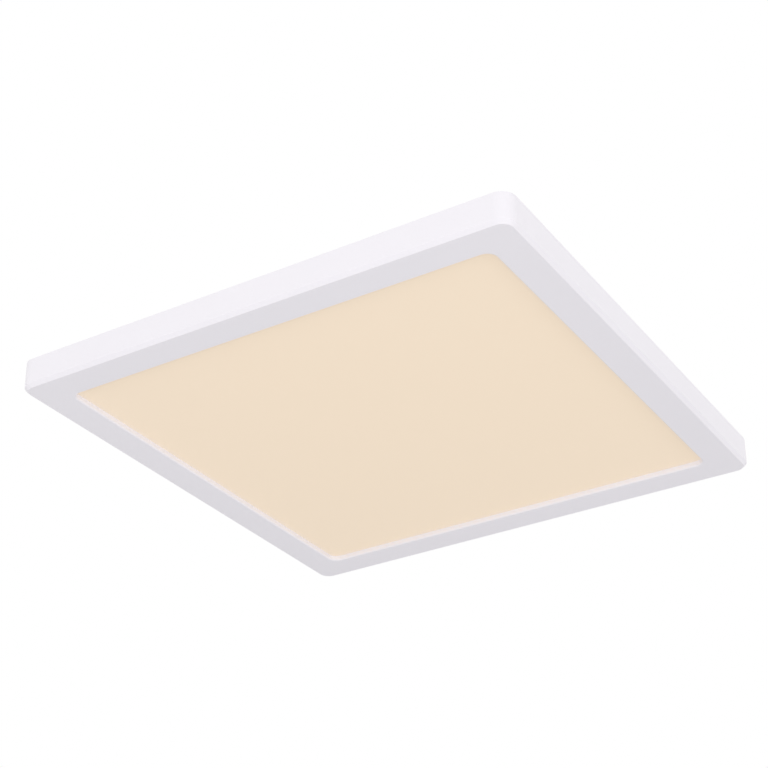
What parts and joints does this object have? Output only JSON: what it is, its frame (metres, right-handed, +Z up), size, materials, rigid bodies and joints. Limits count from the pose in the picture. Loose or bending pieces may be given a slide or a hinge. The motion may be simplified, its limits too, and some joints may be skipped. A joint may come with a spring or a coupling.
{
  "type": "led ceiling light",
  "caption": "Slim square surface-mounted LED ceiling light: white moulded frame, recessed opal diffuser, edge-lit panel, inner driver and clip-on ceiling bracket.",
  "frame": {"origin": "middle of the ceiling bracket's two screw slots, on the ceiling plane", "axes": "+Z up into the ceiling, the lit face looks along -Z, +X along the line of the two screw slots"},
  "size_m": [0.42, 0.42, 0.024],
  "materials": {
    "white_plastic": "satin moulded white",
    "opal_diffuser": "opal, warm when lit",
    "clear_acrylic": "clear polished acrylic",
    "white_film": "matt white film",
    "aluminium_sheet": "mill finish",
    "thermal_tape": "matt tape",
    "white_board": "white solder mask",
    "led_phosphor": "yellow phosphor in a white pack",
    "coated_steel": "white powder coat",
    "zinc_screws": "zinc plated",
    "foam_tape": "white foam",
    "driver_plastic": "textured white case",
    "circuit_board": "green solder mask",
    "transformer_wrap": "yellow tape over ferrite",
    "capacitor_sleeve": "dark shrink sleeve",
    "choke_winding": "enamelled copper winding",
    "brown_insulation": "insulated lead",
    "blue_insulation": "insulated lead",
    "white_insulation": "insulated lead",
    "nylon": "natural nylon",
    "terminal_plastic": "light grey moulding",
    "button_plastic": "orange moulding",
    "brass_contact": "plain brass",
    "spring_steel": "bright spring strip",
    "rivet_steel": "zinc plated",
    "galvanised_steel": "galvanised sheet"
  },
  "bodies": {
    "bracket": {"ceiling_bracket": "galvanised_steel"},
    "fitting": {"frame": "white_plastic", "diffuser": "opal_diffuser", "light_guide": "clear_acrylic", "reflector": "white_film", "heat_plate": "aluminium_sheet", "heat_plate_screws": "zinc_screws", "led_tape_left": "thermal_tape", "led_tape_right": "thermal_tape", "led_board_left": "white_board", "led_board_right": "white_board", "led_chips_left": "led_phosphor", "led_chips_right": "led_phosphor", "back_cover": "coated_steel", "back_cover_screws": "zinc_screws", "driver_tape": "foam_tape", "driver_base": "driver_plastic", "driver_lid": "driver_plastic", "driver_board": "circuit_board", "driver_transformer": "transformer_wrap", "driver_capacitors": "capacitor_sleeve", "driver_choke": "choke_winding", "lead_live": "brown_insulation", "lead_neutral": "blue_insulation", "output_lead_left": "white_insulation", "output_lead_right": "white_insulation", "lead_clips": "nylon", "terminal_housing": "terminal_plastic", "terminal_base": "terminal_plastic", "terminal_contacts": "brass_contact", "terminal_screws": "zinc_screws", "terminal_spring_live": "spring_steel", "terminal_spring_earth": "spring_steel", "terminal_spring_neutral": "spring_steel", "spring_clip_left": "spring_steel", "spring_clip_right": "spring_steel", "clip_rivets": "rivet_steel"},
    "button_live": {"terminal_button_live": "button_plastic"},
    "button_earth": {"terminal_button_earth": "button_plastic"},
    "button_neutral": {"terminal_button_neutral": "button_plastic"}
  },
  "joints": [
    {"name": "fitting_drop", "type": "slide", "parent": "bracket", "child": "fitting", "axis": [0, 0, -1], "range_m": [0, 0.06], "deforming": ["spring_clip_left", "spring_clip_right"]},
    {"name": "button_live_press", "type": "slide", "parent": "fitting", "child": "button_live", "axis": [0, 0, -1], "range_m": [0, 0.0012], "stiffness_N_per_m": 1500, "springref_m": -0.001, "deforming": ["terminal_spring_live"]},
    {"name": "button_earth_press", "type": "slide", "parent": "fitting", "child": "button_earth", "axis": [0, 0, -1], "range_m": [0, 0.0012], "stiffness_N_per_m": 1500, "springref_m": -0.001, "deforming": ["terminal_spring_earth"]},
    {"name": "button_neutral_press", "type": "slide", "parent": "fitting", "child": "button_neutral", "axis": [0, 0, -1], "range_m": [0, 0.0012], "stiffness_N_per_m": 1500, "springref_m": -0.001, "deforming": ["terminal_spring_neutral"]}
  ]
}
